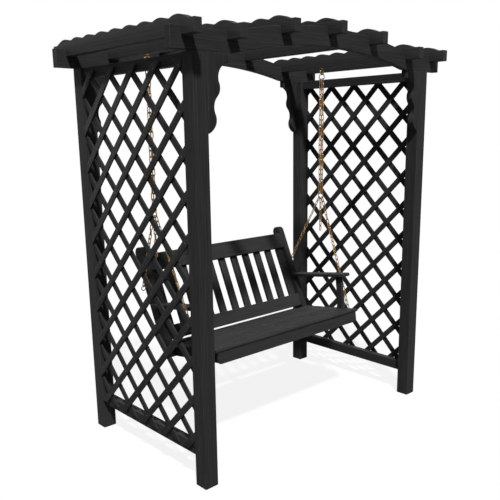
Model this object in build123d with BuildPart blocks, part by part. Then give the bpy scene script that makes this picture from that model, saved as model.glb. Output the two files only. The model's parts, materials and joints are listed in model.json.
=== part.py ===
from build123d import *
import os
from math import atan, cos, radians, sin, sqrt, tan

os.makedirs("parts", exist_ok=True)

# Posts. All lengths are millimetres, all angles degrees.
post_size = 75
post_spacing_x = 1600
post_spacing_y = 914
post_height = 1940
post_ease = 3

# Arched beams
beam_length = 1888
beam_depth = 89
beam_thickness = 38
arch_span = 1250
arch_rise = 72
housing_depth = 6
joint_play = 0.3

# Scalloped roof slats
slat_length = 1166
slat_thickness = 38
slat_height = 80
slat_end_height = 58
slat_notch = 30
inner_slat_pitch = 318
end_slat_x = 872
scallop_count = 9
scallop_depth = 11
crest_width = 84

# Corner brackets: reach from the post and drop below the beam, at the middle and end of each arc of the edge
bracket_thickness = 38
bracket_height = 328
bracket_reach = 122
bracket_tip = 40
bracket_edge = [(65, 72), (61, 116), (67, 144), (51, 177), (34, 212),
                (39, 247), (45, 274), (33, 304), (15, 321)]

# Side panels
rail_thickness = 38
top_rail_height = 50
bottom_rail_height = 58
bottom_rail_clear = 140
lath_width = 33
lath_thickness = 8
lath_pitch = 185.5
lattice_offset = 26
lath_lap = 30
shortest_lath = 45

# Hanging hardware: the chains hang clear of the bench ends, and a roof slat stands over each
hang_clear = 76
hang_y = 125
eye_radius = 14
eye_wire = 3.5
eye_neck = 6
eye_shank = 4
eye_thread = 40
hook_radius = 20
hook_wire = 3
hook_opening = 50
ring_radius = 20
ring_wire = 3
ring_height = 1215
branch_spread = 45
wire_sides = 4
link_wire = 5
link_opening = 8
link_tip = 1.5
link_pitch = 29
link_play = 0.4
tail_links = 7

# Bench seat
bench_length = 1120
seat_front_y = -253.5
seat_front_z = 554
seat_slope = 8
seat_slat_count = 6
seat_slat_width = 65
seat_slat_gap = 6
seat_slat_thickness = 17
seat_nose_radius = 8
apron_height = 60
apron_thickness = 20
apron_setback = 5
apron_inset = 15
apron_corner = 12
support_thickness = 34
support_depth = 62
support_corner = 25
support_overrun = 66
seat_rail_thickness = 20

# Bench back
back_recline = 24
back_gap = 8
stile_thickness = 38
stile_depth = 64
stile_length = 560
stile_drop = 80
top_rail_base = 414
back_top_rail_height = 96
bottom_rail_base = 14
back_bottom_rail_height = 78
back_rail_thickness = 38
back_rail_setback = 3
back_slat_count = 11
back_slat_pitch = 98
back_slat_width = 44
back_slat_thickness = 22
back_slat_setback = 22

# Bench arms and eye bolts
arm_width = 80
arm_overhang = 32
arm_thickness = 18
arm_underside = 200
arm_front = 55
arm_corner = 22
arm_post_thickness = 20
arm_post_inset = 9
arm_post_setback = 35
arm_post_depth = 42
arm_post_foot = 54
bolt_eye_radius = 13
bolt_eye_wire = 2.8
bolt_eye_reach = 30
bolt_shank = 4
bolt_nut_radius = 8
bolt_nut_height = 7
front_bolt_setback = 95
front_bolt_drop = 36
rear_bolt_rise = 329

# Derived positions
post_x = post_spacing_x / 2
post_y = post_spacing_y / 2
post_inner_x = post_x - post_size / 2
post_outer_x = post_x + post_size / 2
post_inner_y = post_y - post_size / 2
beam_y = post_y + post_size / 2 - beam_thickness / 2
beam_top = post_height + beam_depth
arch_radius = ((arch_span / 2) ** 2 + arch_rise ** 2) / (2 * arch_rise)
hang_x = bench_length / 2 + hang_clear
slat_places = [-end_slat_x, -hang_x, -inner_slat_pitch, 0]
slat_places += [inner_slat_pitch, hang_x, end_slat_x]
sides = (("left", -1), ("right", 1))


def save(piece, name):
    piece.part.label = name
    export_step(piece.part, f"parts/{name}.step")


def arch(x):
    """Height that the beam gains at a distance from mid-span."""
    if abs(x) > arch_span / 2:
        return 0
    return sqrt(arch_radius ** 2 - x ** 2) - arch_radius + arch_rise


def slat_seat(x):
    """Level of the flat housing that carries a roof slat."""
    return beam_top + arch(abs(x) + slat_thickness / 2) - housing_depth


def slat_base(x):
    return slat_seat(x) - slat_notch


# Four posts
for side, sign in sides:
    for end, y in (("front", -post_y), ("rear", post_y)):
        with BuildPart() as post:
            with BuildSketch(Plane.XY):
                with Locations((sign * post_x, y)):
                    Rectangle(post_size, post_size)
            extrude(amount=post_height)
            chamfer(post.edges().filter_by(Axis.Z), post_ease)
        save(post, f"{end}_{side}_post")

# Two arched beams with a flat housing for each slat
for end, y in (("front", -beam_y), ("rear", beam_y)):
    with BuildPart() as beam:
        with BuildSketch(Plane.XZ.offset(-y)):
            with BuildLine():
                half = arch_span / 2
                Polyline((half, post_height), (beam_length / 2, post_height), (beam_length / 2, beam_top))
                Line((beam_length / 2, beam_top), (half, beam_top))
                ThreePointArc((half, beam_top), (0, beam_top + arch_rise), (-half, beam_top))
                Line((-half, beam_top), (-beam_length / 2, beam_top))
                Polyline((-beam_length / 2, beam_top), (-beam_length / 2, post_height), (-half, post_height))
                ThreePointArc((-half, post_height), (0, post_height + arch_rise), (half, post_height))
            make_face()
            for x in slat_places:
                with Locations((x, slat_seat(x))):
                    Rectangle(slat_thickness + 2 * joint_play, beam_depth,
                              align=(Align.CENTER, Align.MIN), mode=Mode.SUBTRACT)
        extrude(amount=beam_thickness / 2, both=True)
    save(beam, f"{end}_beam")

# Seven roof slats: smooth scallops on top, notches over the beams below
scallop_pitch = slat_length / (scallop_count + 1)
wave_angle = 2 * atan(2 * scallop_depth / scallop_pitch)
crest_radius = crest_width / 2 / sin(wave_angle)
crest_edge = slat_height - crest_radius * (1 - cos(wave_angle))
valley_half = (scallop_pitch - crest_width) / 2
last_crest = (scallop_count - 1) / 2 * scallop_pitch
shoulder = last_crest + crest_width / 2
shoulder_foot = shoulder + (crest_edge - slat_end_height) / tan(wave_angle)
for number, x in enumerate(slat_places, start=1):
    base = slat_base(x)
    end_top = base + slat_end_height
    with BuildPart() as slat:
        with BuildSketch(Plane.YZ.offset(x)):
            with BuildLine():
                Polyline((-shoulder, base + crest_edge), (-shoulder_foot, end_top),
                         (-slat_length / 2, end_top), (-slat_length / 2, base), (slat_length / 2, base),
                         (slat_length / 2, end_top), (shoulder_foot, end_top), (shoulder, base + crest_edge))
                for i in range(scallop_count):
                    crest = i * scallop_pitch - last_crest
                    rise = crest - crest_width / 2
                    fall = crest + crest_width / 2
                    edge = base + crest_edge
                    ThreePointArc((rise, edge), (crest, base + slat_height), (fall, edge))
                    if i < scallop_count - 1:
                        valley = crest + scallop_pitch / 2
                        low = base + slat_height - scallop_depth
                        ThreePointArc((fall, edge), (valley, low), (valley + valley_half, edge))
            make_face()
            with Locations((-beam_y, base), (beam_y, base)):
                Rectangle(beam_thickness + 2 * joint_play, slat_notch,
                          align=(Align.CENTER, Align.MIN), mode=Mode.SUBTRACT)
        extrude(amount=slat_thickness / 2, both=True)
        if abs(x) == hang_x:
            with Locations((x, hang_y, base)):
                Cylinder(eye_shank + joint_play, eye_thread + joint_play,
                         align=(Align.CENTER, Align.CENTER, Align.MIN), mode=Mode.SUBTRACT)
    save(slat, f"roof_slat_{number}")

# Four wavy brackets under the beams
for side, sign in sides:
    for end, y in (("front", -beam_y), ("rear", beam_y)):
        outline = [(bracket_reach, bracket_tip), *bracket_edge, (0, bracket_height)]
        wave = [(sign * (post_inner_x - reach), post_height - drop) for reach, drop in outline]
        root = sign * post_inner_x
        with BuildPart() as bracket:
            with BuildSketch(Plane.XZ.offset(-y)):
                with BuildLine():
                    Polyline(wave[-1], (root, post_height), (wave[0][0], post_height), wave[0])
                    for i in range(0, len(wave) - 1, 2):
                        ThreePointArc(wave[i], wave[i + 1], wave[i + 2])
                make_face()
            extrude(amount=bracket_thickness / 2, both=True)
        save(bracket, f"{end}_{side}_bracket")

# Side panel rails, set in by two lath layers so that the lattice is flush with the posts
rail_outer_x = post_outer_x - 2 * lath_thickness
panel_width = 2 * post_inner_y
panel_low = bottom_rail_clear + bottom_rail_height - lath_lap
panel_high = post_height - top_rail_height + lath_lap
for side, sign in sides:
    rail_x = sign * (rail_outer_x - rail_thickness / 2)
    with BuildPart() as bottom_rail:
        with BuildSketch(Plane.XY.offset(bottom_rail_clear)):
            with Locations((rail_x, 0)):
                Rectangle(rail_thickness, panel_width)
        extrude(amount=bottom_rail_height)
    save(bottom_rail, f"{side}_panel_bottom_rail")
    with BuildPart() as top_rail:
        with BuildSketch(Plane.XY.offset(post_height - top_rail_height)):
            with Locations((rail_x, 0)):
                Rectangle(rail_thickness, panel_width)
        extrude(amount=top_rail_height)
    save(top_rail, f"{side}_panel_top_rail")

# Lattice laths that cross on the lower edge of the top rail, off the middle of the panel. The right panel
# is the left one turned half round
crossing = post_height - top_rail_height
panel_middle = (panel_low + panel_high) / 2
panel_height = panel_high - panel_low
lath_reach = (panel_width + panel_height) / 2 - shortest_lath - lattice_offset
lath_steps = range(-int((lath_reach + crossing - panel_middle) / lath_pitch),
                   int((lath_reach - crossing + panel_middle) / lath_pitch) + 1)
for side, sign in sides:
    crossings = [(sign * lattice_offset, crossing + step * lath_pitch) for step in lath_steps]
    for layer, depth, slant in (("inner", 0, -sign * 45), ("outer", lath_thickness, sign * 45)):
        with BuildPart() as laths:
            with BuildSketch(Plane.YZ.offset(sign * (rail_outer_x + depth))):
                with Locations(*crossings):
                    Rectangle(4 * panel_height, lath_width, rotation=slant)
                with Locations((0, panel_middle)):
                    Rectangle(panel_width, panel_height, mode=Mode.INTERSECT)
            extrude(amount=sign * lath_thickness)
        save(laths, f"{side}_{layer}_laths")


def wire_ring(center, axis, start, ring_size, wire_size, arc=360):
    """Bend a wire round a centre, beginning in the start direction."""
    section = Plane(origin=center, x_dir=start, z_dir=Vector(start).cross(Vector(axis)))
    with BuildPart() as bend:
        with BuildSketch(section):
            with Locations((ring_size, 0)):
                RegularPolygon(wire_size, wire_sides)
        revolve(axis=Axis(center, axis), revolution_arc=arc)
    return bend.part


# Screw eyes, hooks and junction rings
hang_base = slat_base(hang_x)
eye_height = hang_base - eye_neck - eye_wire - eye_radius
hook_height = eye_height - eye_radius + eye_wire + hook_wire + link_play - hook_radius
hook_start = (0, sin(radians(hook_opening)), cos(radians(hook_opening)))
with BuildPart() as screw_eyes:
    for side, sign in sides:
        add(wire_ring((sign * hang_x, hang_y, eye_height), (0, 1, 0), (1, 0, 0), eye_radius, eye_wire))
        with Locations((sign * hang_x, hang_y, hang_base - eye_neck - eye_wire / 2)):
            Cylinder(eye_shank, eye_wire / 2 + eye_neck + eye_thread,
                     align=(Align.CENTER, Align.CENTER, Align.MIN))
save(screw_eyes, "screw_eyes")

with BuildPart() as hooks:
    for side, sign in sides:
        add(wire_ring((sign * hang_x, hang_y, hook_height), (-1, 0, 0), hook_start,
                      hook_radius, hook_wire, 360 - hook_opening / 2))
save(hooks, "swing_hooks")

with BuildPart() as rings:
    for side, sign in sides:
        add(wire_ring((sign * hang_x, hang_y, ring_height), (1, 0, 0), (0, 1, 0), ring_radius, ring_wire))
save(rings, "junction_rings")


def chain(top, bottom, top_grip, bottom_grip, parity):
    """Straight run of interlocking links between two wires; the links turn a quarter from one to the next.
    The grips are the distances from the wire centres to the bars that go round them. A run with parity 1
    has an odd number of links."""
    run = Vector(bottom) - Vector(top)
    along = run.normalized()
    count = 2 * round((run.length / link_pitch - parity) / 2) + parity
    inner = (run.length + top_grip + bottom_grip + (count - 1) * link_play) / count
    step = inner - link_play
    across = (Vector(1, 0, 0) - along * along.X).normalized()
    half_width = link_opening / 2 + link_wire
    half_side = inner / 2 - 1
    tip = inner / 2 + link_wire + link_tip
    outline = [(half_width, -half_side), (half_width, half_side), (0, tip)]
    outline += [(-half_width, half_side), (-half_width, -half_side), (0, -tip)]
    with BuildPart() as strand:
        for first, lateral in ((0, across), (1, along.cross(across))):
            centres = [(0, inner / 2 - top_grip + step * i) for i in range(first, count, 2)]
            with BuildSketch(Plane(origin=top, x_dir=lateral, z_dir=lateral.cross(along))):
                with Locations(*centres):
                    Polygon(*outline)
                    Rectangle(link_opening, inner, mode=Mode.SUBTRACT)
            extrude(amount=link_wire / 2, both=True)
    return strand.part


# Bench planes: the seat slopes down to the rear and the back reclines
slope = radians(seat_slope)
recline = radians(back_recline)
seat_depth = seat_slat_count * seat_slat_width + (seat_slat_count - 1) * seat_slat_gap
back_start = seat_depth + back_gap
back_y = seat_front_y + back_start * cos(slope)
back_z = seat_front_z - back_start * sin(slope)
half_bench = bench_length / 2
back_width = bench_length - 2 * stile_thickness
support_x = half_bench - stile_thickness - support_thickness
seat_face = Plane(origin=(0, seat_front_y, seat_front_z), x_dir=(1, 0, 0), z_dir=(0, sin(slope), cos(slope)))
back_face = Plane(origin=(0, back_y, back_z), x_dir=(1, 0, 0), z_dir=(0, -cos(recline), sin(recline)))


def seat_side(x):
    """Side view of the seat: depth to the rear, then height above the seat surface."""
    return Plane(origin=(x, seat_front_y, seat_front_z), x_dir=(0, cos(slope), -sin(slope)), z_dir=(1, 0, 0))


def back_side(x):
    """Side view of the back: depth behind its front face, then height along the recline."""
    return Plane(origin=(x, back_y, back_z), x_dir=(0, cos(recline), -sin(recline)), z_dir=(1, 0, 0))


front_bolt = seat_side(0).from_local_coords((front_bolt_setback, -seat_slat_thickness - front_bolt_drop, 0))
rear_bolt = back_side(0).from_local_coords((stile_depth / 2, rear_bolt_rise, 0))

# Seat slats; the front one has a rounded nose
for number in range(seat_slat_count):
    with BuildPart() as seat_slat:
        with BuildSketch(seat_side(-half_bench)) as section:
            with Locations((number * (seat_slat_width + seat_slat_gap), 0)):
                Rectangle(seat_slat_width, seat_slat_thickness, align=(Align.MIN, Align.MAX))
            if number == 0:
                fillet(section.vertices().sort_by(Axis.X)[:2], seat_nose_radius)
        extrude(amount=bench_length)
    save(seat_slat, f"seat_slat_{number + 1}")

with BuildPart() as apron:
    with BuildSketch(Plane(origin=seat_side(0).from_local_coords((apron_setback, -seat_slat_thickness, 0)),
                           x_dir=(1, 0, 0), z_dir=(0, -cos(slope), sin(slope)))) as front_view:
        Rectangle(bench_length - 2 * apron_inset, apron_height, align=(Align.CENTER, Align.MAX))
        chamfer(front_view.vertices().sort_by(Axis.Y)[:2], apron_corner)
    extrude(amount=-apron_thickness)
save(apron, "front_apron")

# Seat supports and the rail across their rear ends
support_front = apron_setback + apron_thickness
support_rear = back_start + support_overrun
for name, x in (("left", -support_x - support_thickness), ("centre", -support_thickness / 2),
                ("right", support_x)):
    with BuildPart() as support:
        with BuildSketch(seat_side(x)) as profile:
            with Locations((support_front, -seat_slat_thickness)):
                Rectangle(support_rear - support_front, support_depth, align=(Align.MIN, Align.MAX))
            heel = profile.vertices().sort_by(Axis.X)[-2:].sort_by(Axis.Y)[0]
            fillet(heel, support_corner)
        extrude(amount=support_thickness)
        if name != "centre":
            with Locations((x + support_thickness / 2, front_bolt.Y, front_bolt.Z)):
                Cylinder(bolt_shank + joint_play, 2 * support_thickness, rotation=(0, 90, 0),
                         mode=Mode.SUBTRACT)
    save(support, f"{name}_seat_support")

with BuildPart() as seat_rail:
    with BuildSketch(seat_side(-back_width / 2)):
        with Locations((support_rear, -seat_slat_thickness)):
            Rectangle(seat_rail_thickness, support_depth - support_corner, align=(Align.MIN, Align.MAX))
    extrude(amount=back_width)
save(seat_rail, "rear_seat_rail")

# Back stiles with round tops
for side, x in (("left", -half_bench), ("right", half_bench - stile_thickness)):
    with BuildPart() as stile:
        crown = stile_length - stile_depth / 2
        with BuildSketch(back_side(x)):
            with BuildLine():
                Polyline((0, crown), (0, -stile_drop), (stile_depth, -stile_drop), (stile_depth, crown))
                ThreePointArc((stile_depth, crown), (stile_depth / 2, stile_length), (0, crown))
            make_face()
        extrude(amount=stile_thickness)
        with Locations((x + stile_thickness / 2, rear_bolt.Y, rear_bolt.Z)):
            Cylinder(bolt_shank + joint_play, 2 * stile_thickness, rotation=(0, 90, 0), mode=Mode.SUBTRACT)
    save(stile, f"{side}_stile")

# Back rails and slats
for name, base, height in (("top", top_rail_base, back_top_rail_height),
                           ("bottom", bottom_rail_base, back_bottom_rail_height)):
    with BuildPart() as back_rail:
        with BuildSketch(back_face.offset(-back_rail_setback)):
            with Locations((0, base)):
                Rectangle(back_width, height, align=(Align.CENTER, Align.MIN))
        extrude(amount=-back_rail_thickness)
    save(back_rail, f"back_{name}_rail")

slat_foot = bottom_rail_base + back_bottom_rail_height
with BuildPart() as back_slats:
    with BuildSketch(back_face.offset(-back_slat_setback)):
        with Locations((0, (slat_foot + top_rail_base) / 2)):
            with GridLocations(back_slat_pitch, 1, back_slat_count, 1):
                Rectangle(back_slat_width, top_rail_base - slat_foot)
    extrude(amount=-back_slat_thickness)
save(back_slats, "back_slats")

# Arms run back to the stiles; their posts flare at the foot
for side, sign in sides:
    arm_x = sign * (half_bench + arm_overhang - arm_width / 2)
    with BuildPart() as arm:
        with BuildSketch(seat_face.offset(arm_underside)) as plan:
            with Locations((arm_x, arm_front)):
                Rectangle(arm_width, back_start + arm_underside, align=(Align.CENTER, Align.MIN))
            fillet(plan.vertices().sort_by(Axis.Y)[:2], arm_corner)
        extrude(amount=arm_thickness)
        split(bisect_by=back_face, keep=Keep.TOP)
    save(arm, f"{side}_arm")
    post_start = sign * (half_bench - arm_post_inset)
    front = arm_front + arm_post_setback
    with BuildPart() as arm_post:
        with BuildSketch(seat_side(post_start)):
            with BuildLine():
                Polyline((front + arm_post_foot, 0), (front, 0), (front, arm_underside),
                         (front + arm_post_depth, arm_underside), (front + arm_post_depth, arm_underside / 2))
                TangentArc((front + arm_post_depth, arm_underside / 2), (front + arm_post_foot, 0),
                           tangent=(0, -1))
            make_face()
        extrude(amount=-sign * arm_post_thickness)
    save(arm_post, f"{side}_arm_post")

# Eye bolts that carry the bench
bolt_eye_x = half_bench + bolt_eye_reach
with BuildPart() as eye_bolts:
    for side, sign in sides:
        for place, inner_face in ((front_bolt, support_x), (rear_bolt, half_bench - stile_thickness)):
            with BuildSketch(Plane.XZ.offset(-place.Y)):
                with Locations((sign * bolt_eye_x, place.Z)):
                    RegularPolygon(bolt_eye_radius + bolt_eye_wire, 8, major_radius=False, rotation=22.5)
                    RegularPolygon(bolt_eye_radius - bolt_eye_wire, 8, major_radius=False, rotation=22.5,
                                   mode=Mode.SUBTRACT)
            extrude(amount=bolt_eye_wire, both=True)
            shank_start = bolt_eye_x - bolt_eye_radius
            shank_end = inner_face - bolt_nut_height
            with Locations((sign * (shank_start + shank_end) / 2, place.Y, place.Z)):
                Cylinder(bolt_shank, shank_start - shank_end, rotation=(0, 90, 0))
            with BuildSketch(Plane.YZ.offset(sign * inner_face)):
                with Locations((place.Y, place.Z)):
                    RegularPolygon(bolt_nut_radius, 6)
            extrude(amount=-sign * bolt_nut_height)
save(eye_bolts, "bench_eye_bolts")

# Chains: doubled from hook to ring, then one branch to each eye bolt and a loose tail
strand_offset = link_opening / 2 + link_wire + link_play
hook_drop = sqrt(hook_radius ** 2 - strand_offset ** 2)
ring_rise = sqrt(ring_radius ** 2 - strand_offset ** 2)
link_far_side = strand_offset + link_wire / 2
tilt_grip = hook_drop - sqrt((hook_radius - hook_wire) ** 2 - link_far_side ** 2) + link_play
branch_side = ring_radius * sin(radians(branch_spread))
branch_drop = ring_radius * cos(radians(branch_spread))
bolt_grip = sqrt(2) * bolt_eye_wire + link_play
for side, sign in sides:
    x = sign * hang_x
    with BuildPart() as hanger:
        for y in (hang_y - strand_offset, hang_y + strand_offset):
            hook_bar = (x, y, hook_height - hook_drop)
            ring_bar = (x, y, ring_height + ring_rise)
            add(chain(hook_bar, ring_bar, tilt_grip, tilt_grip, 1))
    save(hanger, f"{side}_hanger_chain")
    for end, direction, bolt in (("front", -1, front_bolt), ("rear", 1, rear_bolt)):
        start = (x, hang_y + direction * branch_side, ring_height - branch_drop)
        bolt_top = (sign * bolt_eye_x, bolt.Y, bolt.Z + bolt_eye_radius)
        with BuildPart() as branch:
            add(chain(start, bolt_top, tilt_grip, bolt_grip, 0))
        save(branch, f"{side}_{end}_chain")
    tail_top = ring_height - ring_radius
    with BuildPart() as tail:
        add(chain((x, hang_y, tail_top), (x, hang_y, tail_top - tail_links * link_pitch),
                  ring_wire + link_play, 0, 1))
    save(tail, f"{side}_chain_tail")
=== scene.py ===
import json
from math import cos, pi, radians, sin

import bmesh
import bpy
import numpy as np
from mathutils import Matrix, Vector
from mathutils.bvhtree import BVHTree


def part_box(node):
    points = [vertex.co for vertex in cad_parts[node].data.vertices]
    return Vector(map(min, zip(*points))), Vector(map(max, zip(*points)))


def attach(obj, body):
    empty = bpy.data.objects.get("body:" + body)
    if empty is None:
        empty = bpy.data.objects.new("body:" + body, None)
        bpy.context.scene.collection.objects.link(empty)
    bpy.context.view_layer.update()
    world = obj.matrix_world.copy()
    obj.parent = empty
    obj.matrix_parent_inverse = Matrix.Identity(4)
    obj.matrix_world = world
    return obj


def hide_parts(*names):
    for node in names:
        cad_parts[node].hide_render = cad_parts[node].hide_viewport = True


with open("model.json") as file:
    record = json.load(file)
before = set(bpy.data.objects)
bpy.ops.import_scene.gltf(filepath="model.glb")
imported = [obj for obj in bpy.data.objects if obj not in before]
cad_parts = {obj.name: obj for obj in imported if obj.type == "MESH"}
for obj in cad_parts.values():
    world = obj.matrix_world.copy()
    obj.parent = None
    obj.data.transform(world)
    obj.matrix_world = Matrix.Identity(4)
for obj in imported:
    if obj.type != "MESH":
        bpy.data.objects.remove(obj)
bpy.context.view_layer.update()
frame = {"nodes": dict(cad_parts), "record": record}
scene = bpy.context.scene

# Lengths are metres and angles degrees, but the camera counts in pixels and its sensor is in millimetres
IMAGE_SIZE = 500
FOCAL_PIXELS = 651.70
PRINCIPAL_PIXEL = (256.75, 278.40)
SENSOR_WIDTH = 36.0
CAMERA_PLACE = (-2.5103, -2.6665, 1.6200)
CAMERA_HEADING = 42.7576
CAMERA_PITCH = 12.7059
CAMERA_ROLL = -0.6887

# Lamps: direction towards the lamp, strength and apparent width, and then the light from all around
LAMPS = {
    "key": ((-0.31, -0.47, 0.826), 4.6, 4),
    "fill": ((-0.75, -0.55, 0.35), 0.32, 50),
    "side": ((0.99, 0.10, 0.10), 1.7, 60),
    "back": ((0.10, 0.99, 0.10), 1.7, 60),
}
AMBIENT = 0.05
WHITE = (1.0, 1.0, 1.0, 1.0)

# Floor: half its width, its own grey, and the glow that rays from the camera see
FLOOR_REACH = 30.0
FLOOR_COLOUR = 0.10
FLOOR_GLOW = 0.865
FLOOR_ROUGHNESS = 0.9

# Boards: eased edges, the angles above which an edge is eased, shaded sharp or kept, and the weld
EASE_BOARD = 0.002
EASE_LATH = 0.001
EASE_SEGMENTS = 2
EASE_PROFILE = 0.5
EASE_ANGLE = 50
BOARD_SHARP_ANGLE = 25
FLAT_ANGLE = 0.5
WELD = 0.00001

# Slants that give the grain its direction
SEAT_SLOPE = 8
BACK_RECLINE = 24
LATH_SLANT = 45

# Features of the wood: length along and twice across the grain, or a rate, then detail and roughness
WANDER = ((0.45, 0.07, 0.07), 2.0, 0.5)
FIBRE = ((0.16, 0.0022, 0.0022), 4.0, 0.6)
BRUSH = ((0.5, 0.012, 0.012), 3.0, 0.55)
RINGS = (1.0, 2.5, 0.6)
CLOUD = (3.2, 3.0, 0.55)
RUB = (26.0, 4.0, 0.65)

# Growth rings: rate a metre, where the pith lies, how far they wander, and how far boards shift the grain
RING_RATE = 190
PITH_OFFSET = (0.0, 0.085, 0.055)
ACROSS_GRAIN = (0.0, 1.0, 1.0)
WANDER_REACH = 0.024
BOARD_SHIFT = {"X": 7.0, "Y": 0.03, "Z": 0.02}

# Stain: colours along the figure, and how the boards, brush marks and clouds change its tone
STAIN_STOPS = (
    (0.34, (0.0165, 0.0165, 0.0170)),
    (0.50, (0.0275, 0.0275, 0.0278)),
    (0.67, (0.0435, 0.0430, 0.0428)),
)
RING_SHARE = 0.52
BOARD_TONE = (0.88, 1.12)
BRUSH_TONE = 0.20
CLOUD_TONE = 0.16

# Worn edges: the rubbed colour, and how much of it shows
RUBBED = (0.080, 0.073, 0.066)
RUB_STOPS = ((0.50, (0.10, 0.10, 0.10)), (0.72, (0.75, 0.75, 0.75)))

# Surface of the wood: roughness from dark to light figure, and strength and depth of the relief
WOOD_ROUGHNESS = (0.74, 0.58)
CLOUD_ROUGHNESS = 0.07
WOOD_SPECULAR = 0.03
RELIEF_RING_SHARE = 0.35
WOOD_RELIEF = (0.5, 0.0006)

# Plated steel: rate, detail and roughness of patches and spots, where they start and end, and the relief.
# The dark spots are partly tarnish and partly painted shade in place of dark reflections
PATCH = (55.0, 4.0, 0.6)
SPOT = (240.0, 3.0, 0.6)
DULL_STOP = 0.34
BRIGHT_STOP = 0.62
SPOT_SHADE_STOPS = ((0.47, (0.0, 0.0, 0.0)), (0.64, (0.90, 0.90, 0.90)))
DULL_ROUGHER = 0.12
BRIGHT_SMOOTHER = 0.08
STEEL_RELIEF = (0.25, 0.0002)

# Wire and shank radii
LINK_WIRE = 0.0025
RING_WIRE = 0.003
EYE_WIRE = 0.0035
EYE_SHANK = 0.004
BOLT_WIRE = 0.0028
BOLT_SHANK = 0.004

# Fineness of the round forms
WIRE_SIDES = 12
TURNED_SIDES = 24
RING_STEPS = 48
LINK_STEPS = 10
ROUND_END_ANGLES = (30, 60, 80)
WIRE_SHARP_ANGLE = 38

# Links: clear width, thickness of the CAD link at its ends, the most twist and its rate in radians a metre
# of height, and the height at both ends of a run where no link is twisted
LINK_OPENING = 0.008
LINK_END = 0.0065
LINK_TWIST = 14
LINK_TWIST_RATE = 173.0
LINK_FREE = 0.045

# Hooks: where the opening starts, from straight up towards the rear, and how wide it is
HOOK_GAP_START = 25
HOOK_GAP = 25

# Screw eyes: neck between ring and slat, and the collar as distance from the slat's underside and radius
EYE_NECK = 0.006
EYE_COLLAR = ((-0.0025, EYE_SHANK), (-0.0025, 0.0068), (-0.0006, 0.0075),
              (0.0002, 0.0075), (0.0002, EYE_SHANK))

# Eye bolts: depth of the ring along the bolt, how far the shank laps its wire, and the tip, nut and washer
# as distance from the bolt's inner end in the CAD node and radius
BOLT_RING_DEPTH = 0.031
BOLT_LAP = 0.001
BOLT_TIP = ((0.002, BOLT_SHANK), (0.003, BOLT_SHANK - 0.001))
BOLT_NUT = ((-0.0055, 0.0066), (-0.0050, 0.0076), (-0.0006, 0.0076), (0.0, 0.0066))
BOLT_NUT_SIDES = 6
BOLT_WASHER = ((-0.007, 0.0095), (-0.0055, 0.0095))

# Heads of screws and nails: radius, and profile as height over the wood and share of the radius.
# The cross recess takes four shares in turn. A nail keeps a lath's width from the lath's ends.
SCREW_HEAD = 0.0045
ROOF_SCREW_HEAD = 0.0055
SCREW_PROFILE = ((-0.0035, 0.40), (-0.0002, 1.0), (0.0003, 0.97), (0.0006, 0.80))
RECESS_TOP = (0.0006, (0.62, 0.24, 0.20, 0.24))
RECESS_FOOT = (-0.0014, (0.30, 0.14, 0.12, 0.14))
SCREW_SIDES = 16
ARM_SCREW_FORWARD = 0.006
NAIL_HEAD = 0.0021
NAIL_PROFILE = ((-0.0010, 0.5), (-0.0002, 1.0), (0.0003, 0.94), (0.0007, 0.5))
NAIL_SIDES = 10
LATH_WIDTH = 0.033
RAY_HEIGHT = 3.0

X = Vector((1, 0, 0))
Y = Vector((0, 1, 0))
Z = Vector((0, 0, 1))

subparts = frame["record"]["subparts"]
node_names = [part["node"] for part in subparts]


def link_to_scene(thing):
    scene.collection.objects.link(thing)
    return thing


def body_of(node):
    """Name of the body that carries a CAD node."""
    for body, nodes in frame["record"]["behaviour"]["bodies"].items():
        if node in nodes:
            return body
    raise KeyError(node)


def middle(node):
    """Centre of a CAD node's box."""
    low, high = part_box(node)
    return [(a + b) / 2 for a, b in zip(low, high)]


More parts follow.
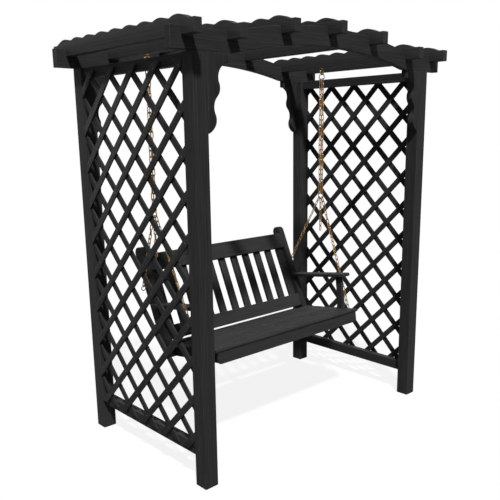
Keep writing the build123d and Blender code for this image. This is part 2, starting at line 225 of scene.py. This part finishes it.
# Materials
class Nodes:
    """Short way to add and join the nodes of one material."""

    def __init__(self, name):
        self.material = bpy.data.materials.new(name)
        self.material.use_nodes = True
        self.tree = self.material.node_tree
        self.shader = self.tree.nodes["Principled BSDF"]

    def add(self, kind, **settings):
        node = self.tree.nodes.new("ShaderNode" + kind)
        for key, value in settings.items():
            setattr(node, key, value)
        return node

    def join(self, source, target):
        self.tree.links.new(source, target)

    def math(self, operation, first, second):
        node = self.add("Math", operation=operation)
        for socket, value in zip(node.inputs, (first, second)):
            if isinstance(value, (int, float)):
                socket.default_value = value
            else:
                self.join(value, socket)
        return node.outputs[0]

    def noise(self, vector, rate, detail, roughness):
        node = self.add("TexNoise")
        node.inputs["Scale"].default_value = rate
        node.inputs["Detail"].default_value = detail
        node.inputs["Roughness"].default_value = roughness
        self.join(vector, node.inputs["Vector"])
        return node.outputs["Fac"]

    def streaks(self, vector, sizes, detail, roughness):
        """Noise whose features are as long as the sizes say."""
        node = self.add("Mapping", vector_type="TEXTURE")
        node.inputs["Scale"].default_value = sizes
        self.join(vector, node.inputs["Vector"])
        return self.noise(node.outputs["Vector"], 1.0, detail, roughness)

    def ramp(self, factor, *stops):
        node = self.add("ValToRGB")
        points = node.color_ramp.elements
        while len(points) < len(stops):
            points.new(1.0)
        for point, (place, colour) in zip(points, stops):
            point.position = place
            point.color = (*colour, 1.0)
        self.join(factor, node.inputs["Fac"])
        return node.outputs["Color"]

    def cover(self, factor, colour, plain):
        """A joined colour that turns into a plain one as the factor grows."""
        node = self.add("Mix", data_type="RGBA", blend_type="MIX")
        inputs = {socket.identifier: socket for socket in node.inputs}
        outputs = {socket.identifier: socket for socket in node.outputs}
        self.join(factor, inputs["Factor_Float"])
        self.join(colour, inputs["A_Color"])
        inputs["B_Color"].default_value = (*plain, 1.0)
        return outputs["Result_Color"]

    def share(self, part, first, second):
        """The given part of one value and the rest of another."""
        return self.math("ADD", self.math("MULTIPLY", first, part), self.math("MULTIPLY", second, 1 - part))

    def span(self, factor, low, high):
        """A factor of 0 to 1 turned into a value from low to high."""
        node = self.add("MapRange")
        node.inputs["To Min"].default_value = low
        node.inputs["To Max"].default_value = high
        self.join(factor, node.inputs["Value"])
        return node.outputs["Result"]

    def vary(self, value, factor, reach):
        """A value moved up or down by as much as reach."""
        return self.math("ADD", value, self.span(factor, -reach, reach))

    def bump(self, height, strength, distance):
        node = self.add("Bump")
        node.inputs["Strength"].default_value = strength
        node.inputs["Distance"].default_value = distance
        self.join(height, node.inputs["Height"])
        self.join(node.outputs["Normal"], self.shader.inputs["Normal"])


def stained_wood(name, grain, worn):
    """Charcoal stain over softwood whose grain runs along a direction; worn is for eased edges."""
    n = Nodes(name)
    turn = n.add("Mapping", vector_type="TEXTURE")
    turn.inputs["Rotation"].default_value = X.rotation_difference(Vector(grain)).to_euler()
    n.join(n.add("TexCoord").outputs["Object"], turn.inputs["Vector"])
    chance = n.add("ObjectInfo").outputs["Random"]
    shift = n.add("CombineXYZ")
    for axis, most in BOARD_SHIFT.items():
        n.join(n.math("MULTIPLY", chance, most), shift.inputs[axis])
    moved = n.add("VectorMath", operation="ADD")
    n.join(turn.outputs["Vector"], moved.inputs[0])
    n.join(shift.outputs["Vector"], moved.inputs[1])
    board = moved.outputs["Vector"]

    # Growth rings of uneven width about a pith outside the board, which wander along the grain
    pith = n.add("Mapping")
    pith.inputs["Location"].default_value = PITH_OFFSET
    pith.inputs["Scale"].default_value = ACROSS_GRAIN
    n.join(board, pith.inputs["Vector"])
    reach = n.add("VectorMath", operation="LENGTH")
    n.join(pith.outputs["Vector"], reach.inputs[0])
    age = n.vary(reach.outputs["Value"], n.streaks(board, *WANDER), WANDER_REACH)
    ring = n.add("CombineXYZ")
    n.join(n.math("MULTIPLY", age, RING_RATE), ring.inputs["X"])
    rings = n.noise(ring.outputs["Vector"], *RINGS)

    # Fibres, saw and brush marks, and slow changes of the stain
    fibre = n.streaks(board, *FIBRE)
    brush = n.streaks(board, *BRUSH)
    cloud = n.noise(board, *CLOUD)
    figure = n.share(RING_SHARE, rings, fibre)
    tone = n.vary(n.span(chance, *BOARD_TONE), brush, BRUSH_TONE)
    tone = n.vary(tone, cloud, CLOUD_TONE)
    scaled = n.add("VectorMath", operation="SCALE")
    n.join(n.ramp(figure, *STAIN_STOPS), scaled.inputs[0])
    n.join(tone, scaled.inputs["Scale"])
    colour = scaled.outputs["Vector"]
    if worn:
        rub = n.ramp(n.noise(board, *RUB), *RUB_STOPS)
        colour = n.cover(rub, colour, RUBBED)
    n.join(colour, n.shader.inputs["Base Color"])
    roughness = n.vary(n.span(figure, *WOOD_ROUGHNESS), cloud, CLOUD_ROUGHNESS)
    n.join(roughness, n.shader.inputs["Roughness"])
    n.shader.inputs["Specular IOR Level"].default_value = WOOD_SPECULAR
    n.bump(n.share(RELIEF_RING_SHARE, rings, fibre), *WOOD_RELIEF)
    return n.material


def plated_steel(name, bright, dull, dark, roughness):
    """Zinc plate that dulls in patches and darkens in spots; the spots are partly tarnish and partly
    painted shade in place of dark reflections.
    """
    n = Nodes(name)
    place = n.add("TexCoord").outputs["Object"]
    patch = n.noise(place, *PATCH)
    spot = n.noise(place, *SPOT)
    colour = n.ramp(patch, (DULL_STOP, dull), (BRIGHT_STOP, bright))
    # Dark spots: partly tarnish, partly painted shade that stands in for the dark reflections of the metal
    n.join(n.cover(n.ramp(spot, *SPOT_SHADE_STOPS), colour, dark), n.shader.inputs["Base Color"])
    gloss = n.span(patch, roughness + DULL_ROUGHER, roughness - BRIGHT_SMOOTHER)
    n.join(gloss, n.shader.inputs["Roughness"])
    n.shader.inputs["Metallic"].default_value = 1.0
    n.bump(spot, *STEEL_RELIEF)
    return n.material


CHAIN_STEEL = plated_steel(
    "yellow_zinc",
    bright=(0.45, 0.28, 0.12),
    dull=(0.21, 0.115, 0.048),
    dark=(0.045, 0.025, 0.012),
    roughness=0.36,
)
HOOK_STEEL = plated_steel(
    "bright_zinc",
    bright=(0.46, 0.47, 0.48),
    dull=(0.27, 0.28, 0.29),
    dark=(0.07, 0.07, 0.07),
    roughness=0.28,
)
SCREW_STEEL = plated_steel(
    "dulled_zinc",
    bright=(0.20, 0.20, 0.20),
    dull=(0.11, 0.11, 0.11),
    dark=(0.035, 0.034, 0.032),
    roughness=0.42,
)

slope = radians(SEAT_SLOPE)
recline = radians(BACK_RECLINE)
slant = radians(LATH_SLANT)
GRAINS = {
    "across": (1, 0, 0),
    "deep": (0, 1, 0),
    "upright": (0, 0, 1),
    "rising": (0, cos(slant), sin(slant)),
    "falling": (0, cos(slant), -sin(slant)),
    "seat": (0, cos(slope), -sin(slope)),
    "back": (0, sin(recline), cos(recline)),
}
WOOD = {
    key: (stained_wood(f"wood_{key}", grain, False), stained_wood(f"wood_{key}_edge", grain, True))
    for key, grain in GRAINS.items()
}


# Boards: copies of the CAD solids with eased edges
def ease_board(node, grain, ease):
    form = bmesh.new()
    form.from_mesh(frame["nodes"][node].data)
    bmesh.ops.remove_doubles(form, verts=form.verts, dist=WELD)
    bmesh.ops.dissolve_limit(form, angle_limit=radians(FLAT_ANGLE), verts=form.verts, edges=form.edges)
    inner = [edge for edge in form.edges if len(edge.link_faces) == 2]
    sharp = [edge for edge in inner if edge.calc_face_angle() > radians(EASE_ANGLE)]
    for face in form.faces:
        face.material_index = 0
    bmesh.ops.bevel(form, geom=sharp, offset=ease, offset_type="OFFSET", segments=EASE_SEGMENTS,
                    profile=EASE_PROFILE, affect="EDGES", clamp_overlap=True, material=1)
    for face in form.faces:
        face.smooth = True
    mesh = bpy.data.meshes.new(f"{node}_board")
    form.to_mesh(mesh)
    form.free()
    for material in WOOD[grain]:
        mesh.materials.append(material)
    mesh.set_sharp_from_angle(angle=radians(BOARD_SHARP_ANGLE))
    board = link_to_scene(bpy.data.objects.new(f"{node}_board", mesh))
    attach(board, body_of(node))
    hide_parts(node)


def board_grain(node):
    """Grain of a wooden node and the width of its eased edges."""
    if node.endswith("_laths"):
        left_panel = node.startswith("left")
        return ("rising" if left_panel == ("inner" in node) else "falling"), EASE_LATH
    if node.endswith("_post") or node.endswith("_bracket"):
        return "upright", EASE_BOARD
    if node.startswith("roof_slat") or "_panel_" in node:
        return "deep", EASE_BOARD
    if node.endswith("_stile") or node == "back_slats":
        return "back", EASE_BOARD
    if node.endswith("_seat_support") or node.endswith("_arm"):
        return "seat", EASE_BOARD
    return "across", EASE_BOARD


for part in subparts:
    if part["material_slot"] == "stained_wood":
        grain, ease = board_grain(part["node"])
        ease_board(part["node"], grain, ease)


# Swept and turned hardware
def circle(centre, first, second, radius, sides):
    """Corners round a centre. Several radii take turns from corner to corner and make a star."""
    radii = radius if isinstance(radius, tuple) else (radius,)
    corners = []
    for k in range(sides):
        turn = 2 * pi * k / sides
        corners.append(centre + radii[k % len(radii)] * (cos(turn) * first + sin(turn) * second))
    return corners


def arc(centre, first, second, radius, start, end, steps):
    """Points on a circle from the start to the end angle, measured from first towards second."""
    turns = [radians(start + (end - start) * i / steps) for i in range(steps + 1)]
    return [centre + radius * (cos(t) * first + sin(t) * second) for t in turns]


def ring_path(centre, first, second, radius):
    return arc(centre, first, second, radius, 0, 360, RING_STEPS)[:-1]


def round_ends(path, loops, radius):
    """Adds smaller loops beyond both ends of an open wire."""
    head = (path[0] - path[1]).normalized()
    tail = (path[-1] - path[-2]).normalized()
    angles = [radians(a) for a in ROUND_END_ANGLES]
    before = [(path[0] + head * radius * sin(a), loops[0][1], radius * cos(a)) for a in reversed(angles)]
    after = [(path[-1] + tail * radius * sin(a), loops[-1][1], radius * cos(a)) for a in angles]
    return before + loops + after


def moved_along(distance, profile):
    """A turned profile moved along its axis."""
    return [(distance + d, r) for d, r in profile]


class Shape:
    """Corners and faces that several swept and turned forms share."""

    def __init__(self):
        self.corners = []
        self.faces = []

    def loops(self, loops, closed):
        """Skin a row of loops that have the same number of corners."""
        start = len(self.corners)
        sides = len(loops[0])
        for loop in loops:
            self.corners.extend(loop)
        for i in range(len(loops) if closed else len(loops) - 1):
            here = start + i * sides
            there = start + (i + 1) % len(loops) * sides
            for k in range(sides):
                j = (k + 1) % sides
                self.faces.append((here + k, here + j, there + j, there + k))
        if not closed:
            self.faces.append(tuple(range(start, start + sides)))
            last = start + (len(loops) - 1) * sides
            self.faces.append(tuple(range(last, last + sides)))

    def wire(self, path, normal, radius, closed=True):
        """Round wire along a flat path whose plane has the given normal. Open ends are rounded."""
        loops = []
        count = len(path)
        for i, point in enumerate(path):
            before = path[i - 1] if closed or i > 0 else point
            after = path[(i + 1) % count] if closed or i < count - 1 else point
            outward = (after - before).cross(normal).normalized()
            loops.append((point, outward, radius))
        if not closed:
            loops = round_ends(path, loops, radius)
        self.loops([circle(p, o, normal, r, WIRE_SIDES) for p, o, r in loops], closed)

    def turned(self, origin, axis, profile, sides=TURNED_SIDES):
        """Turned form: the profile lists distance along the axis and radius."""
        axis = Vector(axis).normalized()
        first = axis.orthogonal().normalized()
        second = axis.cross(first)
        loops = [circle(Vector(origin) + axis * d, first, second, r, sides) for d, r in profile]
        self.loops(loops, closed=False)

    def piece(self, name, material, body, slot, *nodes):
        """One object of the scene from all the forms."""
        mesh = bpy.data.meshes.new(name)
        mesh.from_pydata(self.corners, [], self.faces)
        form = bmesh.new()
        form.from_mesh(mesh)
        bmesh.ops.recalc_face_normals(form, faces=form.faces)
        for face in form.faces:
            face.smooth = True
        form.to_mesh(mesh)
        form.free()
        mesh.materials.append(material)
        mesh.set_sharp_from_angle(angle=radians(WIRE_SHARP_ANGLE))
        made = link_to_scene(bpy.data.objects.new(name, mesh))
        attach(made, body)
        if nodes:
            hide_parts(*nodes)


def loose_parts(node):
    """Corner arrays of the separate solids in a CAD node."""
    form = bmesh.new()
    form.from_mesh(frame["nodes"][node].data)
    bmesh.ops.remove_doubles(form, verts=form.verts, dist=WELD)
    seen = set()
    parts = []
    for seed in form.verts:
        if seed in seen:
            continue
        seen.add(seed)
        stack = [seed]
        corners = []
        while stack:
            corner = stack.pop()
            corners.append(corner.co[:])
            for edge in corner.link_edges:
                other = edge.other_vert(corner)
                if other not in seen:
                    seen.add(other)
                    stack.append(other)
        parts.append(np.array(corners))
    form.free()
    return parts


# Chains: a round-wire link in the place of each CAD link
for node in node_names:
    if not (node.endswith("_chain") or node.endswith("_chain_tail")):
        continue
    links = Shape()
    low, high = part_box(node)
    for corners in loose_parts(node):
        centre = corners.mean(axis=0)
        axes = np.linalg.svd(corners - centre, full_matrices=False)[2]
        along, across, normal = (Vector(a) for a in axes)
        if low[2] + LINK_FREE < centre[2] < high[2] - LINK_FREE:
            twist = Matrix.Rotation(radians(LINK_TWIST) * sin(LINK_TWIST_RATE * centre[2]), 3, along)
            across = twist @ across
            normal = twist @ normal
        reach = float(np.abs((corners - centre) @ axes[0]).max())
        bend = LINK_OPENING / 2 + LINK_WIRE
        straight = along * (reach - LINK_END + LINK_WIRE - bend)
        path = arc(Vector(centre) + straight, across, along, bend, 0, 180, LINK_STEPS)
        path += arc(Vector(centre) - straight, across, along, bend, 180, 360, LINK_STEPS)
        links.wire(path, normal, LINK_WIRE)
    links.piece(f"{node}_links", CHAIN_STEEL, body_of(node), "chain_steel", node)


def pair_of_rings(node):
    """Centres and centre-line radius of the two rings in a node; the rings stand in the YZ plane."""
    low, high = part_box(node)
    radius = (high[2] - low[2]) / 2 - RING_WIRE
    reach = high[0] - RING_WIRE
    _, y, z = middle(node)
    return [Vector((sign * reach, y, z)) for sign in (-1, 1)], radius


# Open hooks, closed junction rings
hooks = Shape()
centres, radius = pair_of_rings("swing_hooks")
for centre in centres:
    path = arc(centre, Z, Y, radius, HOOK_GAP_START + HOOK_GAP, 360 + HOOK_GAP_START, RING_STEPS)
    hooks.wire(path, X, RING_WIRE, closed=False)
hooks.piece("round_hooks", HOOK_STEEL, "hooks", "hook_steel", "swing_hooks")

rings = Shape()
centres, radius = pair_of_rings("junction_rings")
for centre in centres:
    rings.wire(ring_path(centre, Y, Z, radius), X, RING_WIRE)
rings.piece("round_rings", CHAIN_STEEL, "rings", "chain_steel", "junction_rings")

# Screw eyes: ring, neck and a collar under the slat
eyes = Shape()
for corners in loose_parts("screw_eyes"):
    low = corners.min(axis=0).tolist()
    high = corners.max(axis=0).tolist()
    radius = (high[0] - low[0]) / 2 - EYE_WIRE
    centre = Vector(((low[0] + high[0]) / 2, (low[1] + high[1]) / 2, low[2] + radius + EYE_WIRE))
    eyes.wire(ring_path(centre, X, Z, radius), Y, EYE_WIRE)
    neck = radius + EYE_WIRE / 2
    slat = neck + EYE_WIRE / 2 + EYE_NECK
    collar = moved_along(slat, EYE_COLLAR)
    eyes.turned(centre, Z, [(neck, EYE_SHANK), *collar, (high[2] - centre.z, EYE_SHANK)])
eyes.piece("round_screw_eyes", CHAIN_STEEL, "arbor", "chain_steel", "screw_eyes")

# Eye bolts: ring, shank, hexagon nut and washer
bolts = Shape()
for corners in loose_parts("bench_eye_bolts"):
    low = corners.min(axis=0).tolist()
    high = corners.max(axis=0).tolist()
    outward = X if low[0] > 0 else -X
    end = high[0] if low[0] > 0 else low[0]
    tail = low[0] if low[0] > 0 else high[0]
    heights = corners[np.abs(corners[:, 0] - end) < BOLT_RING_DEPTH][:, 2]
    top = float(heights.max())
    bottom = float(heights.min())
    radius = (top - bottom) / 2 - BOLT_WIRE
    centre = Vector((end, (low[1] + high[1]) / 2, (top + bottom) / 2))
    centre -= outward * (radius + BOLT_WIRE)
    bolts.wire(ring_path(centre, X, Z, radius), Y, BOLT_WIRE)
    inside = abs(centre.x - tail)
    tip = moved_along(inside, BOLT_TIP)
    bolts.turned(centre, -outward, [(radius - BOLT_LAP, BOLT_SHANK), *tip])
    bolts.turned(centre, -outward, moved_along(inside, BOLT_NUT), BOLT_NUT_SIDES)
    bolts.turned(centre, -outward, moved_along(inside, BOLT_WASHER))
bolts.piece("round_eye_bolts", CHAIN_STEEL, "bench", "chain_steel", "bench_eye_bolts")


# Screw heads with a cross recess, set into the wood where a board crosses what carries it
def wood_under(node, x, y):
    """Place and normal where a ray from above first meets a CAD node."""
    mesh = frame["nodes"][node].data
    tree = BVHTree.FromPolygons([v.co for v in mesh.vertices], [p.vertices for p in mesh.polygons])
    place, normal, _, _ = tree.ray_cast(Vector((x, y, RAY_HEIGHT)), -Z)
    return place, normal


def screw_head(shape, place, normal, radius):
    profile = [(height, share * radius) for height, share in SCREW_PROFILE]
    for height, shares in (RECESS_TOP, RECESS_FOOT):
        profile.append((height, tuple(share * radius for share in shares)))
    shape.turned(place, normal, profile, SCREW_SIDES)


seat_screws = Shape()
for slat in [node for node in node_names if node.startswith("seat_slat_")]:
    for side in ("left", "centre", "right"):
        place, normal = wood_under(slat, middle(f"{side}_seat_support")[0], middle(slat)[1])
        screw_head(seat_screws, place, normal, SCREW_HEAD)
for side in ("left", "right"):
    x, y, _ = middle(f"{side}_arm_post")
    place, normal = wood_under(f"{side}_arm", x, y - ARM_SCREW_FORWARD)
    screw_head(seat_screws, place, normal, SCREW_HEAD)
seat_screws.piece("seat_screws", SCREW_STEEL, "bench", "hook_steel")

roof_screws = Shape()
for slat in [node for node in node_names if node.startswith("roof_slat_")]:
    for beam in ("front_beam", "rear_beam"):
        place, normal = wood_under(slat, middle(slat)[0], middle(beam)[1])
        screw_head(roof_screws, place, normal, ROOF_SCREW_HEAD)
roof_screws.piece("roof_screws", SCREW_STEEL, "arbor", "hook_steel")


# A nail through each crossing of the laths
def lath_lines(node, rise):
    """Centre line of each lath as z - rise * y, with the range of z + rise * y that a nail may take."""
    lines = []
    for corners in loose_parts(node):
        across = corners[:, 2] - rise * corners[:, 1]
        along = corners[:, 2] + rise * corners[:, 1]
        line = (across.min() + across.max()) / 2
        lines.append((line, along.min() + LATH_WIDTH, along.max() - LATH_WIDTH))
    return lines


nails = Shape()
nail = [(height, share * NAIL_HEAD) for height, share in NAIL_PROFILE]
for side, outward, rise in (("left", -X, -1), ("right", X, 1)):
    low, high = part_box(f"{side}_outer_laths")
    face = low[0] if side == "left" else high[0]
    for outer, outer_low, outer_high in lath_lines(f"{side}_outer_laths", rise):
        for inner, inner_low, inner_high in lath_lines(f"{side}_inner_laths", -rise):
            if outer_low < inner < outer_high and inner_low < outer < inner_high:
                place = Vector((face, rise * (inner - outer) / 2, (inner + outer) / 2))
                nails.turned(place, outward, nail, NAIL_SIDES)
nails.piece("lath_nails", SCREW_STEEL, "arbor", "hook_steel")


# Floor, backdrop light, lamps and camera
def seen_rays(tree):
    """1 for rays from the camera, from a reflection or through glass, and 0 for light on the part."""
    paths = tree.nodes.new("ShaderNodeLightPath")
    seen = paths.outputs["Is Camera Ray"]
    for kind in ("Is Glossy Ray", "Is Transmission Ray"):
        either = tree.nodes.new("ShaderNodeMath")
        either.operation = "MAXIMUM"
        tree.links.new(seen, either.inputs[0])
        tree.links.new(paths.outputs[kind], either.inputs[1])
        seen = either.outputs[0]
    return seen


def floor_material():
    """Grey floor that is white to the camera outside the shadow."""
    n = Nodes("floor")
    n.shader.inputs["Base Color"].default_value = (FLOOR_COLOUR, FLOOR_COLOUR, FLOOR_COLOUR, 1.0)
    n.shader.inputs["Roughness"].default_value = FLOOR_ROUGHNESS
    n.shader.inputs["Specular IOR Level"].default_value = 0.0
    n.shader.inputs["Emission Color"].default_value = WHITE
    n.join(n.math("MULTIPLY", seen_rays(n.tree), FLOOR_GLOW), n.shader.inputs["Emission Strength"])
    return n.material


floor_mesh = bpy.data.meshes.new("floor")
floor_corners = [(x * FLOOR_REACH, y * FLOOR_REACH, 0) for x, y in ((-1, -1), (1, -1), (1, 1), (-1, 1))]
floor_mesh.from_pydata(floor_corners, [], [(0, 1, 2, 3)])
floor_mesh.materials.append(floor_material())
floor = link_to_scene(bpy.data.objects.new("floor", floor_mesh))

world = bpy.data.worlds.new("studio")
world.use_nodes = True
scene.world = world
sky = world.node_tree
level = sky.nodes.new("ShaderNodeMapRange")
level.inputs["To Min"].default_value = AMBIENT
level.inputs["To Max"].default_value = 1.0
sky.links.new(seen_rays(sky), level.inputs["Value"])
sky.nodes["Background"].inputs["Color"].default_value = WHITE
sky.links.new(level.outputs["Result"], sky.nodes["Background"].inputs["Strength"])

for name, (direction, strength, width) in LAMPS.items():
    lamp = bpy.data.lights.new(name, "SUN")
    lamp.energy = strength
    lamp.angle = radians(width)
    sun = link_to_scene(bpy.data.objects.new(name, lamp))
    sun.rotation_euler = Vector(direction).to_track_quat("Z", "Y").to_euler()

heading = radians(CAMERA_HEADING)
pitch = radians(CAMERA_PITCH)
roll = radians(CAMERA_ROLL)
forward = Vector((sin(heading) * cos(pitch), cos(heading) * cos(pitch), -sin(pitch)))
right = Vector((cos(heading), -sin(heading), 0))
up = right.cross(forward)
camera_right = cos(roll) * right + sin(roll) * up
camera_up = cos(roll) * up - sin(roll) * right
lens = bpy.data.cameras.new("camera")
lens.sensor_width = SENSOR_WIDTH
lens.lens = FOCAL_PIXELS * SENSOR_WIDTH / IMAGE_SIZE
lens.shift_x = (IMAGE_SIZE / 2 - PRINCIPAL_PIXEL[0]) / IMAGE_SIZE
lens.shift_y = (PRINCIPAL_PIXEL[1] - IMAGE_SIZE / 2) / IMAGE_SIZE
camera = link_to_scene(bpy.data.objects.new("camera", lens))
turn = Matrix((camera_right, camera_up, -forward)).transposed()
camera.matrix_world = Matrix.Translation(CAMERA_PLACE) @ turn.to_4x4()
scene.camera = camera
scene.view_settings.view_transform = "Standard"
